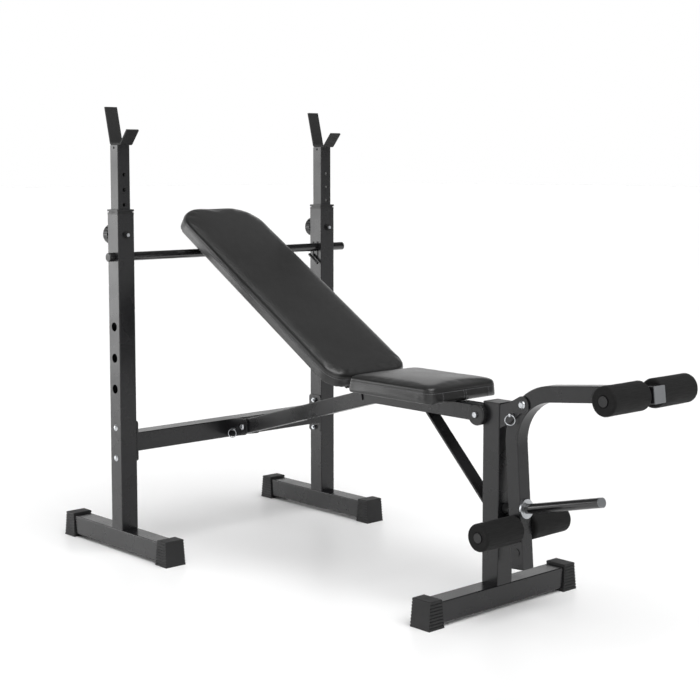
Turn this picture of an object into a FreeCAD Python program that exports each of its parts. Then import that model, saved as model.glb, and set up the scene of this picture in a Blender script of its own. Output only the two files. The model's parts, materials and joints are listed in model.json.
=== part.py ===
"""Adjustable weight bench with barbell rack and leg developer.

Millimetres, +Z up. +X runs from the rack to the leg developer, Y = 0 is the plane of symmetry.
The origin is on the floor below the rack uprights; everything is shifted at the end so that it
sits at the centre of the bounding box. "right" is -Y and "left" is +Y, as for someone sitting on
the seat and facing the leg developer. Each named node is written to parts/NODE.step.
"""
import FreeCAD, Part
import math
import os

V = FreeCAD.Vector

# ---------------------------------------------------------------- driving dimensions
TUBE, WALL = 54.0, 2.0            # outer square tube of rack, front post and bases
RACK_HALF = 380.0                 # rack uprights, centre to plane of symmetry
BASE_Z0, BASE_Z1 = 10.0, 64.0     # underside and top of the base tubes
BASE_BACK, BASE_FRONT = -274.0, 250.0
FOOT_H, FOOT_L, FOOT_W = 71.0, 52.0, 66.0
FRONT_BASE_HALF = 275.0

UPRIGHT_TOP = 971.0
COLLAR_H = 14.0
POST_TUBE, POST_WALL = 40.0, 2.0  # telescoping tube
POST_Z0, POST_Z1 = 866.0, 1166.0
HOLE_PITCH = 42.5
KNOB_Z = 913.0
STATIONS = (472.0, 561.0, 651.0)  # spare holes for the cross tube

RING_R = 12.5                     # split rings of the pull pins
CROSS_R, CROSS_Z = 12.5, 850.0
CROSS_Y0, CROSS_Y1 = -425.0, 465.0
CROSSBAR_Z0, CROSSBAR_Z1 = 289.0, 343.0
SADDLE_Z0, SADDLE_Z1, SADDLE_T = 260.0, 376.0, 5.0
SADDLE_BOLTS = (272.0, 360.0)

BEAM = 42.0
BEAM_START = (38.0, 312.3)        # centre line, X and Z
BEAM_BEND = (665.0, 490.0)
BEAM_BEND_R = 150.0
FOLD = (98.0, 329.3)              # axis on which the bench folds up
FOLD_PIN = (62.0, 319.1)

POST_X = 1100.0                   # front post centre
FRONT_POST_TOP = 522.0
FRONT_BOLT = (1062.0, 490.0)
PIVOT = (1198.0, 529.0)           # lever pivot
LEVER_PIN = (1168.0, 501.0)
BEAM_END_X = POST_X - TUBE / 2 - 0.5
LEVER = 40.0
LEVER_LOW = (1184.2, 119.0)
LEVER_CORNER = (1152.4, 550.0)
ARM_END = (1583.0, 596.6)
LEVER_BEND_R = 130.0

ROLLER_R, ROLLER_Y0, ROLLER_Y1 = 35.0, 22.0, 156.0
UPPER_AXIS = (1547.0, 592.7)
LOWER_AXIS = (1177.0, 217.0)
BAR_R = 12.5
WEIGHT_R, WEIGHT_TILT = 12.5, 13.5
WEIGHT_NECK, WEIGHT_END = 31.0, 256.0  # free stretch, measured from the lever's centre line
WEIGHT_Z = 261.7                  # height at which the weight post leaves the lever
BRACE_TOP, BRACE_LOW = (864.0, 476.7), (1080.0, 258.5)  # upper face of the diagonal bar
BRACE_W, BRACE_T = 40.0, 5.0

SEAT_X0, SEAT_X1, SEAT_HALF = 679.0, 987.0, 128.0
SEAT_Z0, SEAT_Z1 = 512.5, 555.0
SEAT_CORNERS = (12.0, 26.0)       # rear and front corner radius
BOARD_T = 8.0
BACK_ANGLE = 31.0
BACK_LOW = (648.0, 550.0)         # lower end of the pad's top surface
BACK_LEN, BACK_HALF, BACK_T = 842.0, 143.0, 41.0
BACK_CORNERS = (92.0, 52.0)       # upper and lower corner radius
BACK_HINGE = (612.0, 504.0)
REST_GAP = 0.3                    # daylight between rails and cross tube
RUN = 0.05                        # radial clearance of a pin that turns


# ---------------------------------------------------------------- helpers
def box(x0, x1, y0, y1, z0, z1):
    return Part.makeBox(x1 - x0, y1 - y0, z1 - z0, V(x0, y0, z0))


def rod(p, q, r):
    """Cylinder of radius r from point p to point q."""
    a = V(*p)
    d = V(*q) - a
    return Part.makeCylinder(r, d.Length, a, d)


def fuse(*solids):
    out = solids[0]
    if len(solids) > 1:
        out = out.multiFuse(list(solids[1:]))
    return out.removeSplitter()


def cut(body, *tools):
    for tool in tools:
        body = body.cut(tool)
    return body


def group(solids):
    return Part.makeCompound([s for item in solids for s in (item.Solids or [item])])


def mirror(shape):
    """The same piece on the other side of Y = 0."""
    return shape.mirror(V(0, 0, 0), V(0, 1, 0))


def prism(points, y0, y1):
    """Polygon given in X and Z, extruded from y0 to y1."""
    wire = Part.makePolygon([V(x, y0, z) for x, z in list(points) + [points[0]]])
    return Part.Face(wire).extrude(V(0, y1 - y0, 0))


def hexagon(centre, axis, flats, height):
    """Hexagonal nut or head standing on centre and rising along axis."""
    r = flats / math.sqrt(3)
    pts = [V(r * math.cos(math.radians(a)), r * math.sin(math.radians(a)), 0) for a in range(0, 361, 60)]
    nut = Part.Face(Part.makePolygon(pts)).extrude(V(0, 0, height))
    turn = FreeCAD.Rotation(V(0, 0, 1), V(*axis))
    nut.Placement = FreeCAD.Placement(V(*centre), turn)
    return nut


def dome(centre, axis, r, height):
    """Shallow rounded bolt head."""
    ball_r = (r * r + height * height) / (2 * height)
    ball = Part.makeSphere(ball_r, V(0, 0, height - ball_r))
    head = ball.common(Part.makeCylinder(r + 1, height, V(0, 0, 0)))
    head.Placement = FreeCAD.Placement(V(*centre), FreeCAD.Rotation(V(0, 0, 1), V(*axis)))
    return head


def square_tube(x0, x1, y0, y1, z0, z1, wall, axis):
    """Hollow box, open at both ends along axis (0, 1 or 2)."""
    low, high = [x0, y0, z0], [x1, y1, z1]
    for i in range(3):
        if i != axis:
            low[i] += wall
            high[i] -= wall
    inner = box(low[0], high[0], low[1], high[1], low[2], high[2])
    outer = box(x0, x1, y0, y1, z0, z1)
    along = [e for e in outer.Edges if abs(e.tangentAt(e.FirstParameter)[axis]) > 0.9]
    return outer.makeFillet(2.5, along).cut(inner)


def strip(p0, corner, p2, radius, half, y0, y1):
    """Solid bar of width 2 * half in the X-Z plane along p0, a rounded corner and p2."""
    a, c, b = (V(p[0], y0, p[1]) for p in (p0, corner, p2))
    u, w = (c - a).normalize(), (b - c).normalize()
    turn = math.acos(u.dot(w))
    side = 1.0 if u.cross(w).y > 0 else -1.0
    normal = V(0, 1, 0)
    n0, n1 = normal.cross(u) * -side, normal.cross(w) * -side
    reach = radius * math.tan(turn / 2)
    start, stop = c - u * reach, c + w * reach
    centre = start - n0 * radius
    middle = (c - centre).normalize()

    def edge(off):
        ring = radius + off
        arc = Part.Arc(centre + n0 * ring, centre + middle * ring, centre + n1 * ring)
        return [a + n0 * off, start + n0 * off, arc, stop + n1 * off, b + n1 * off]

    out, back = edge(half), edge(-half)
    edges = [Part.makeLine(out[0], out[1]), out[2].toShape(), Part.makeLine(out[3], out[4]),
             Part.makeLine(out[4], back[4]), Part.makeLine(back[4], back[3]), back[2].toShape(),
             Part.makeLine(back[1], back[0]), Part.makeLine(back[0], out[0])]
    face = Part.Face(Part.Wire(Part.__sortEdges__(edges)))
    return face.extrude(V(0, y1 - y0, 0))


def bent_tube(p0, corner, p2, radius, size, wall):
    """Square tube with rounded long edges along p0, a bend and p2."""
    half = size / 2
    outer = strip(p0, corner, p2, radius, half, -half, half)
    ends = [V(p0[0], 0, p0[1]), V(p2[0], 0, p2[1])]
    long_edges = [e for e in outer.Edges if e.BoundBox.YLength < 0.01
                  and min((V(e.CenterOfMass.x, 0, e.CenterOfMass.z) - q).Length for q in ends) > 1.0]
    outer = outer.makeFillet(2.5, long_edges)
    return outer.cut(strip(p0, corner, p2, radius, half - wall, wall - half, half - wall))


def plugged(size, wall, depth, lip):
    """Square end plug: lip on top of the tube end at Z = 0, stem reaching down inside."""
    half, inner = size / 2, size / 2 - wall - 0.05
    cap = box(-half, half, -half, half, 0, lip)
    cap = cap.makeFillet(2.5, [e for e in cap.Edges if e.BoundBox.ZLength > lip - 0.1])
    cap = cap.makeFillet(1.0, [e for e in cap.Edges if e.BoundBox.ZMin > lip - 0.1])
    return fuse(cap, box(-inner, inner, -inner, inner, -depth, 0))


def aimed(shape, point, direction):
    """Turn a shape's +Z to a direction in the X-Z plane and move it to a point there."""
    d = V(direction[0], 0, direction[1])
    turn = FreeCAD.Rotation(V(0, 1, 0), math.degrees(math.atan2(d.x, d.z)))
    out = shape.copy()
    out.Placement = FreeCAD.Placement(V(point[0], 0, point[1]), turn)
    return out


def wedge_foot(length, width, height, shrink_x, shrink_y):
    """Tapered block centred on X = Y = 0, standing on the floor."""
    def rect(z, dx, dy):
        x, y = length / 2 - dx, width / 2 - dy
        return Part.makePolygon([V(-x, -y, z), V(x, -y, z), V(x, y, z), V(-x, y, z), V(-x, -y, z)])

    return Part.makeLoft([rect(0, 0, 0), rect(height, shrink_x, shrink_y)], True)


def foot(x_end, sign, y):
    """Rubber foot at one end of a base tube along X; sign is the outward direction."""
    block = wedge_foot(FOOT_L, FOOT_W, FOOT_H, 6.0, 2.0)
    block = block.makeFillet(2.0, [e for e in block.Edges if e.BoundBox.ZMin > FOOT_H - 1])
    for i in range(8):
        z = 6.0 + 8.0 * i
        reach = FOOT_W / 2 - 2.0 * z / FOOT_H - 1.8
        block = block.cut(fuse(box(-40, 40, reach, 40, z, z + 3.0), box(-40, 40, -40, -reach, z, z + 3.0)))
    block.translate(V(x_end - sign * FOOT_L / 2, y, 0))
    inner_end, wall_end = x_end - sign * FOOT_L, x_end - sign * 8.0
    pocket = box(min(inner_end, wall_end), max(inner_end, wall_end),
                 y - TUBE / 2, y + TUBE / 2, BASE_Z0, BASE_Z1)
    return block.cut(pocket)


def turned_to_y(shape):
    """Quarter turn about Z and a move to the front post, for the base that runs along Y."""
    out = shape.copy()
    out.rotate(V(0, 0, 0), V(0, 0, 1), 90)
    out.translate(V(POST_X, 0, 0))
    return out


parts = {}

# ---------------------------------------------------------------- rack, right-hand side first
h = TUBE / 2
y = -RACK_HALF
base = square_tube(BASE_BACK + 8, BASE_FRONT - 8, y - h, y + h, BASE_Z0, BASE_Z1, WALL, 0)
upright = square_tube(-h, h, y - h, y + h, BASE_Z1, UPRIGHT_TOP, WALL, 2)
for z in STATIONS + (CROSS_Z,):
    upright = upright.cut(rod((0, y - 60, z), (0, y + 60, z), CROSS_R + 0.5))
upright = upright.cut(rod((-60, y, KNOB_Z), (60, y, KNOB_Z), 5.0 + RUN))
for z in SADDLE_BOLTS:
    upright = upright.cut(rod((0, y - 60, z), (0, y + 60, z), 4.05))
rims = []
for half_width, z0, z1 in ((h + 0.4, 0.0, 5.5), (h - 2.0, 5.5, 8.0), (h + 0.9, 8.0, COLLAR_H)):
    rim = box(-half_width, half_width, y - half_width, y + half_width, UPRIGHT_TOP + z0, UPRIGHT_TOP + z1)
    rims.append(rim.makeFillet(3.0, [e for e in rim.Edges if e.BoundBox.ZLength > 2.0]))
inner_half = h - WALL - 0.05
sleeve = box(-inner_half, inner_half, y - inner_half, y + inner_half, UPRIGHT_TOP - 24, UPRIGHT_TOP)
bore = POST_TUBE / 2 + 0.35
collar = fuse(*rims, sleeve).cut(box(-bore, bore, y - bore, y + bore, UPRIGHT_TOP - 30, UPRIGHT_TOP + 30))

saddle = box(-h, h, y + h, y + h + SADDLE_T, SADDLE_Z0, SADDLE_Z1)
for z in (SADDLE_Z0, SADDLE_Z1):
    saddle = saddle.makeFillet(8.0, [e for e in saddle.Edges
                                     if e.BoundBox.YLength > 4 and e.BoundBox.XLength < 0.1
                                     and abs(e.BoundBox.ZMin - z) < 0.1 and e.BoundBox.ZLength < 0.1])
bolts = []
for z in SADDLE_BOLTS:
    saddle = saddle.cut(rod((0, y - 60, z), (0, y + 60, z), 4.05))
    shank = rod((0, y - h - 0.5, z), (0, y + h + SADDLE_T + 11, z), 4.0)
    head = dome((0, y - h, z), (0, -1, 0), 9.5, 4.5)
    nut = hexagon((0, y + h + SADDLE_T, z), (0, 1, 0), 13.0, 7.0)
    bolts.append(fuse(shank, head, nut))

parts["rack_base_right"], parts["rack_base_left"] = base, mirror(base)
parts["upright_right"], parts["upright_left"] = upright, mirror(upright)
parts["upright_collars"] = group([collar, mirror(collar)])
parts["saddle_plates"] = group([saddle, mirror(saddle)])
bolts += [mirror(b) for b in bolts]
rear, front = foot(BASE_BACK, -1, y), foot(BASE_FRONT, 1, y)
parts["rack_feet"] = group([rear, front, mirror(rear), mirror(front)])
inner_y = RACK_HALF - h - SADDLE_T
parts["crossbar"] = square_tube(-h, h, -inner_y, inner_y, CROSSBAR_Z0, CROSSBAR_Z1, WALL, 1)

# bracket on the crossbar that carries the folding end of the beam
cheek_y0, cheek_t = BEAM / 2 + 0.6, 4.0
outline = [(h, 297), (h, 341), (62, 350), (118, 356), (124, 348), (124, 316), (112, 307), (60, 297)]
cheek = prism(outline, -cheek_y0 - cheek_t, -cheek_y0)
cheek = cheek.cut(rod((FOLD[0], -60, FOLD[1]), (FOLD[0], 60, FOLD[1]), 5.0 + RUN))
cheek = cheek.cut(rod((FOLD_PIN[0], -60, FOLD_PIN[1]), (FOLD_PIN[0], 60, FOLD_PIN[1]), 4.3))
parts["fold_bracket"] = group([cheek, mirror(cheek)])
bolt = fuse(rod((FOLD[0], -36, FOLD[1]), (FOLD[0], 34, FOLD[1]), 5.0),
            dome((FOLD[0], -cheek_y0 - cheek_t, FOLD[1]), (0, -1, 0), 8.5, 5.0),
            hexagon((FOLD[0], cheek_y0 + cheek_t, FOLD[1]), (0, 1, 0), 15.0, 7.5))
bolts.append(bolt.cut(box(0, 200, -60, -cheek_y0 - cheek_t - 5.0, 200, 400)))


def ring_pin(x, z, y_face, tip):
    """Pull pin along Y with a split ring hanging from its outer end."""
    shank = rod((x, y_face - 11, z), (x, y_face + tip, z), 4.0)
    ring = Part.makeTorus(RING_R, 1.2, V(x, y_face - 8.6, z - RING_R), V(0.5, -0.86, 0))
    return fuse(shank, ring)


parts["fold_pin"] = ring_pin(FOLD_PIN[0], FOLD_PIN[1], -cheek_y0 - cheek_t, cheek_t)

# ---------------------------------------------------------------- telescoping posts and hooks
p = POST_TUBE / 2
post = square_tube(-p, p, y - p, y + p, POST_Z0, POST_Z1, POST_WALL, 2)
for i in range(5):
    z = KNOB_Z + HOLE_PITCH * i
    post = post.cut(rod((-60, y, z), (60, y, z), 5.5))
post = post.cut(rod((0, y - 60, POST_Z1 - 7), (0, y + 60, POST_Z1 - 7), 2.55))
parts["post_right"], parts["post_left"] = post, mirror(post)

HOOK_T = 5.0
spine = [V(-43.5, 0, 1274.0), V(-16.5, 0, POST_Z1 + HOOK_T / 2), V(31.0, 0, POST_Z1 + HOOK_T / 2),
         V(65.5, 0, 1208.0)]


def offset_line(pts, off):
    """Parallel of an open polyline in the X-Z plane."""
    out = []
    dirs = [(b - a).normalize() for a, b in zip(pts, pts[1:])]
    norms = [V(-d.z, 0, d.x) for d in dirs]
    out.append(pts[0] + norms[0] * off)
    for i in range(1, len(pts) - 1):
        m = (norms[i - 1] + norms[i]).normalize()
        out.append(pts[i] + m * (off / m.dot(norms[i])))
    out.append(pts[-1] + norms[-1] * off)
    return [(q.x, q.z) for q in out]


hook = prism(offset_line(spine, HOOK_T / 2) + offset_line(spine, -HOOK_T / 2)[::-1], y - 20, y + 20)
bends = [e for e in hook.Edges if e.BoundBox.YLength > 39 and 1160 < e.BoundBox.ZMin < 1175]
inside = [e for e in bends if e.BoundBox.ZMin > POST_Z1 + HOOK_T - 0.5]
hook = hook.makeFillet(7.0, inside)
outside = [e for e in hook.Edges if e.BoundBox.YLength > 39 and e.BoundBox.ZMax < POST_Z1 + 0.5
           and e.BoundBox.ZMin > POST_Z1 - 0.5]
hook = hook.makeFillet(9.0, outside)
stem = p - POST_WALL - 0.05
insert = box(-stem, stem, y - stem, y + stem, POST_Z1 - 20, POST_Z1)
insert = insert.cut(rod((0, y - 60, POST_Z1 - 7), (0, y + 60, POST_Z1 - 7), 2.55))
hook = fuse(hook, insert)
screw = fuse(rod((0, y - p - 0.2, POST_Z1 - 7), (0, y + p + 0.2, POST_Z1 - 7), 2.5),
             dome((0, y - p, POST_Z1 - 7), (0, -1, 0), 3.8, 1.8),
             dome((0, y + p, POST_Z1 - 7), (0, 1, 0), 3.8, 1.8))
parts["bar_hook_right"], parts["bar_hook_left"] = hook, mirror(hook)
parts["hook_screw_right"], parts["hook_screw_left"] = screw, mirror(screw)

# height knob behind each upright: a finely fluted disc on a threaded stud
knob_back = -h - 24.0
knob = rod((knob_back, y, KNOB_Z), (-h - 1.0, y, KNOB_Z), 29.0)
knob = knob.makeFillet(4.0, [e for e in knob.Edges if abs(e.BoundBox.XMax - knob_back) < 0.1 and e.Closed])
for i in range(18):
    a = math.radians(20 * i + 10)
    cy_, cz_ = y + 30.5 * math.cos(a), KNOB_Z + 30.5 * math.sin(a)
    knob = knob.cut(rod((knob_back - 1, cy_, cz_), (-h, cy_, cz_), 3.0))
stud = rod((-30, y, KNOB_Z), (-p - 0.5, y, KNOB_Z), 5.0)
boss = rod((-h - 1.0, y, KNOB_Z), (-h - 0.3, y, KNOB_Z), 9.0)
knob = fuse(knob, boss, stud)
parts["height_knob_right"], parts["height_knob_left"] = knob, mirror(knob)
clamp = hexagon((h, y, KNOB_Z), (1, 0, 0), 16.0, 8.0).cut(rod((h, y, KNOB_Z), (h + 9, y, KNOB_Z), 4.95))
clamp_bolt = rod((p + 0.5, y, KNOB_Z), (h + 11.0, y, KNOB_Z), 4.9)
parts["clamp_nuts"] = group([clamp, mirror(clamp)])
bolts += [clamp_bolt, mirror(clamp_bolt)]
parts["rack_bolts"] = group(bolts)

# ---------------------------------------------------------------- cross tube below the backrest
tube = rod((0, CROSS_Y0 + 4, CROSS_Z), (0, CROSS_Y1 - 4, CROSS_Z), CROSS_R)
tube = tube.cut(rod((0, CROSS_Y0, CROSS_Z), (0, CROSS_Y1, CROSS_Z), CROSS_R - 2.0))
pin_y = RACK_HALF - h - 9.0
tube = tube.cut(rod((0, pin_y, CROSS_Z - 30), (0, pin_y, CROSS_Z + 30), 2.05))
parts["cross_tube"] = tube
caps = []
for ye, s in ((CROSS_Y0, 1), (CROSS_Y1, -1)):
    cap = fuse(rod((0, ye, CROSS_Z), (0, ye + s * 4, CROSS_Z), CROSS_R),
               rod((0, ye + s * 4, CROSS_Z), (0, ye + s * 20, CROSS_Z), CROSS_R - 2.05))
    caps.append(cap.makeFillet(1.5, [e for e in cap.Edges if e.Closed and abs(e.BoundBox.YMin - ye) < 0.1
                                     and e.BoundBox.XLength > 20]))
parts["cross_tube_caps"] = group(caps)
parts["cross_tube_pin"] = fuse(
    rod((0, pin_y, CROSS_Z + 17), (0, pin_y, CROSS_Z - 36), 2.0),
    dome((0, pin_y, CROSS_Z + 15), (0, 0, 1), 4.5, 2.5),
    rod((-20, pin_y, CROSS_Z - 23), (20, pin_y, CROSS_Z - 50), 4.4))

# ---------------------------------------------------------------- beam, front post, front base
beam = bent_tube(BEAM_START, BEAM_BEND, (BEAM_END_X, BEAM_BEND[1]), BEAM_BEND_R, BEAM, WALL)
beam = beam.cut(rod((FOLD[0], -60, FOLD[1]), (FOLD[0], 60, FOLD[1]), 5.0 + RUN))
beam = beam.cut(rod((FOLD_PIN[0], -60, FOLD_PIN[1]), (FOLD_PIN[0], 60, FOLD_PIN[1]), 4.5))
beam = beam.cut(rod((FRONT_BOLT[0], -60, FRONT_BOLT[1]), (FRONT_BOLT[0], 60, FRONT_BOLT[1]), 5.05))
parts["main_beam"] = beam
slope = V(BEAM_BEND[0] - BEAM_START[0], 0, BEAM_BEND[1] - BEAM_START[1]).normalize()
plug = aimed(plugged(BEAM, WALL, 16, 2.0), BEAM_START, (-slope.x, -slope.z))
cap = aimed(plugged(TUBE, WALL, 16, 3.0), (POST_X, FRONT_POST_TOP), (0, 1))
parts["frame_plugs"] = group([plug, cap])

post_front = square_tube(POST_X - h, POST_X + h, -h, h, BASE_Z1, FRONT_POST_TOP, WALL, 2)
parts["front_post"] = post_front
front_base = square_tube(-FRONT_BASE_HALF + 8, FRONT_BASE_HALF - 8, -h, h, BASE_Z0, BASE_Z1, WALL, 0)
parts["front_base"] = turned_to_y(front_base)
parts["front_feet"] = group([turned_to_y(foot(-FRONT_BASE_HALF, -1, 0)),
                             turned_to_y(foot(FRONT_BASE_HALF, 1, 0))])

# diagonal brace: a flat bar cut to the underside of the beam and the back of the post
run = (V(BRACE_LOW[0], 0, BRACE_LOW[1]) - V(BRACE_TOP[0], 0, BRACE_TOP[1])).normalize()
inward = V(run.z, 0, -run.x) * BRACE_T
bar = prism([BRACE_TOP, BRACE_LOW, (BRACE_LOW[0] + inward.x, BRACE_LOW[1] + inward.z),
             (BRACE_TOP[0] + inward.x, BRACE_TOP[1] + inward.z)], -BRACE_W / 2, BRACE_W / 2)
parts["brace"] = bar.common(box(700, POST_X - h, -40, 40, 100, BEAM_BEND[1] - BEAM / 2))

# plates behind the post that take the beam's end bolt, and the hand knob on that bolt
bx, bz = FRONT_BOLT
plate_y = BEAM / 2 + 0.4
plate = prism([(bx - 26, bz - 17), (bx - 22, bz - 21), (POST_X - h, bz - 23), (POST_X - h, bz + 20.5),
               (bx - 22, bz + 20.5), (bx - 26, bz + 16)], -plate_y - 4, -plate_y)
washer = rod((bx, -h - 0.3, bz), (bx, -plate_y - 4, bz), 9.0)
plate = fuse(plate, washer).cut(rod((bx, -60, bz), (bx, 0, bz), 5.05))
parts["beam_plates"] = group([plate, mirror(plate)])
knob_face, knob_front = -h - 0.6, -h - 16.0
parts["front_bolt"] = fuse(rod((bx, knob_front - 4, bz), (bx, h + 9, bz), 5.0),
                           hexagon((bx, knob_front - 0.3, bz), (0, -1, 0), 13.0, 4.5),
                           hexagon((bx, h + 0.3, bz), (0, 1, 0), 15.0, 7.5))
disc = rod((bx, knob_front, bz), (bx, knob_face, bz), 27.5)
disc = disc.makeFillet(3.5, [e for e in disc.Edges if e.Closed and e.BoundBox.YMin < knob_front + 1])
disc = disc.cut(rod((bx, -60, bz), (bx, 0, bz), 5.0 + RUN))
for i in range(24):
    a = math.radians(15 * i)
    cx_, cz_ = bx + 28.6 * math.cos(a), bz + 28.6 * math.sin(a)
    disc = disc.cut(rod((cx_, -60, cz_), (cx_, -20, cz_), 1.9))
parts["front_knob"] = disc

# ---------------------------------------------------------------- seat
def board(length, half_width, inset, thick, corners):
    """Flat slab with rounded corners, inset from a pad: X from 0 to length, Z from -thick to 0."""
    out = box(inset, length - inset, inset - half_width, half_width - inset, -thick, 0)
    for corner, low_end in zip(corners, (True, False)):
        upright_edges = [e for e in out.Edges if e.BoundBox.ZLength > thick - 0.1
                         and (e.BoundBox.XMax < length / 2) == low_end
                         and abs(abs(e.CenterOfMass.y) - half_width + inset) < 0.01]
        out = out.makeFillet(max(corner - inset, 6.0), upright_edges)
    return out


def rounded_pad(length, half_width, thick, corners, edge):
    """Cushion of that outline with a rolled upper edge."""
    pad = board(length, half_width, 0.0, thick, corners)
    return pad.makeFillet(edge, [e for e in pad.Edges if e.BoundBox.ZMin > -0.1])


seat_len = SEAT_X1 - SEAT_X0
seat = rounded_pad(seat_len, SEAT_HALF, SEAT_Z1 - SEAT_Z0 - 0.3, SEAT_CORNERS, 8.0)
seat.translate(V(SEAT_X0, 0, SEAT_Z1))
SEAT_PLATE_Z = BEAM_BEND[1] + BEAM / 2
seat_board = board(seat_len, SEAT_HALF, 22.0, BOARD_T, SEAT_CORNERS)
seat_board.translate(V(SEAT_X0, 0, SEAT_PLATE_Z + 3 + BOARD_T))
pocket = board(seat_len, SEAT_HALF, 21.7, SEAT_PLATE_Z + 3.3 + BOARD_T - SEAT_Z0 + 5, SEAT_CORNERS)
pocket.translate(V(SEAT_X0, 0, SEAT_PLATE_Z + 3.3 + BOARD_T))
bracket = fuse(box(735, 765, -95, 95, SEAT_PLATE_Z, SEAT_PLATE_Z + 3),
               box(915, 945, -95, 95, SEAT_PLATE_Z, SEAT_PLATE_Z + 3),
               box(765, 915, -18, 18, SEAT_PLATE_Z, SEAT_PLATE_Z + 3))
seat_bolts = []
for x in (750, 930):
    for yy in (-80, 80):
        hole = rod((x, yy, 480), (x, yy, SEAT_PLATE_Z + 3 + 6), 3.05)
        bracket, seat_board = bracket.cut(hole), seat_board.cut(hole)
        seat_bolts.append(fuse(hexagon((x, yy, SEAT_PLATE_Z), (0, 0, -1), 10.0, 4.5),
                               rod((x, yy, SEAT_PLATE_Z - 1), (x, yy, SEAT_PLATE_Z + 8.5), 3.0)))
parts["seat_pad"] = seat.cut(pocket)
parts["seat_board"] = seat_board
parts["seat_bracket"] = bracket
parts["seat_bolts"] = group(seat_bolts)

# ---------------------------------------------------------------- backrest
# built lying along -X with its lower end at the origin, then tipped up and moved
slope_a = math.radians(BACK_ANGLE)
up = V(math.sin(slope_a), 0, math.cos(slope_a))
along = V(-math.cos(slope_a), 0, math.sin(slope_a))
tube_below = (V(BACK_LOW[0], 0, BACK_LOW[1]) - V(0, 0, CROSS_Z)).dot(up)
RAIL_H = tube_below - CROSS_R - REST_GAP - BACK_T - BOARD_T
hinge = V(BACK_HINGE[0] - BACK_LOW[0], 0, BACK_HINGE[1] - BACK_LOW[1])
hinge_x, hinge_z = -hinge.dot(along), hinge.dot(up)


def tipped(shape):
    out = shape.copy()
    out.rotate(V(0, 0, 0), V(0, 1, 0), BACK_ANGLE)
    out.translate(V(BACK_LOW[0], 0, BACK_LOW[1]))
    return out


back = rounded_pad(BACK_LEN, BACK_HALF, BACK_T - 0.3, BACK_CORNERS, 9.0)
back.translate(V(-BACK_LEN, 0, 0))
back_board = board(BACK_LEN, BACK_HALF, 20.0, BOARD_T, BACK_CORNERS)
back_board.translate(V(-BACK_LEN, 0, -BACK_T))
rail_z = -BACK_T - BOARD_T
rail = square_tube(-BACK_LEN + 70, hinge_x - 13, 34, 60, rail_z - RAIL_H, rail_z, 1.5, 0)
ear = fuse(box(hinge_x - 60, hinge_x, 27.2, 31.2, hinge_z - 8.0, rail_z),
           rod((hinge_x, 27.2, hinge_z), (hinge_x, 31.2, hinge_z), 8.0))
ear = fuse(ear, box(hinge_x - 60, hinge_x - 14, 27.2, 34.0, rail_z - 3, rail_z))
ear = ear.cut(rod((hinge_x, 0, hinge_z), (hinge_x, 60, hinge_z), 5.0 + RUN))
cross_strap = box(-BACK_LEN + 120, -BACK_LEN + 150, -34, 34, rail_z - 3, rail_z)
screws = []
for x in (-BACK_LEN + 95, -BACK_LEN / 2, -75):
    hole = rod((x, 47, rail_z - RAIL_H - 1), (x, 47, rail_z + 5.5), 3.05)
    rail, back_board = rail.cut(hole), cut(back_board, hole, mirror(hole))
    screws.append(rod((x, 47, rail_z - RAIL_H + 1.5), (x, 47, rail_z + 5.2), 3.0))
parts["back_pad"] = tipped(back)
parts["back_board"] = tipped(back_board)
parts["back_rails"] = tipped(group([rail, mirror(rail), cross_strap]))
parts["back_ears"] = tipped(group([ear, mirror(ear)]))
parts["back_screws"] = tipped(group(screws + [mirror(s) for s in screws]))

# hinge bracket on the beam: two ears on its sides and the bolt between them
hx, hz = BACK_HINGE
outline = [(hx - 26, 466), (hx + 14, 474), (hx + 8.2, hz), (hx - 8.2, hz)]
ear = fuse(prism(outline, BEAM / 2, BEAM / 2 + 4), rod((hx, BEAM / 2, hz), (hx, BEAM / 2 + 4, hz), 8.2))
ear = ear.cut(rod((hx, 0, hz), (hx, 60, hz), 5.0 + RUN))
parts["hinge_bracket"] = group([ear, mirror(ear)])
parts["hinge_bolt"] = fuse(rod((hx, -40, hz), (hx, 33, hz), 5.0),
                           hexagon((hx, 31.6, hz), (0, 1, 0), 13.0, 6.5),
                           dome((hx, -31.6, hz), (0, -1, 0), 7.5, 8.4))

# ---------------------------------------------------------------- lever (leg developer)
px, pz = PIVOT
outline = [(POST_X + h, 462), (POST_X + h, 521), (1158, 531), (px - 6, pz + 20.1), (px + 14, pz - 15.6),
           (px - 4, pz - 20.6), (1160, 480)]
plate = fuse(prism(outline, 20.6, 24.6), rod((px, 20.6, pz), (px, 24.6, pz), 21.0))
plate = plate.cut(rod((px, 0, pz), (px, 60, pz), 6.0 + RUN))
plate = plate.cut(rod((LEVER_PIN[0], 0, LEVER_PIN[1]), (LEVER_PIN[0], 60, LEVER_PIN[1]), 4.3))
parts["lever_plates"] = group([plate, mirror(plate)])
parts["lever_bolt"] = fuse(rod((px, -30, pz), (px, 34, pz), 6.0),
                           dome((px, -24.6, pz), (0, -1, 0), 10.0, 5.6),
                           hexagon((px, 24.6, pz), (0, 1, 0), 18.0, 8.0))
parts["lever_pin"] = ring_pin(LEVER_PIN[0], LEVER_PIN[1], -24.6, 4.0)

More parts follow.
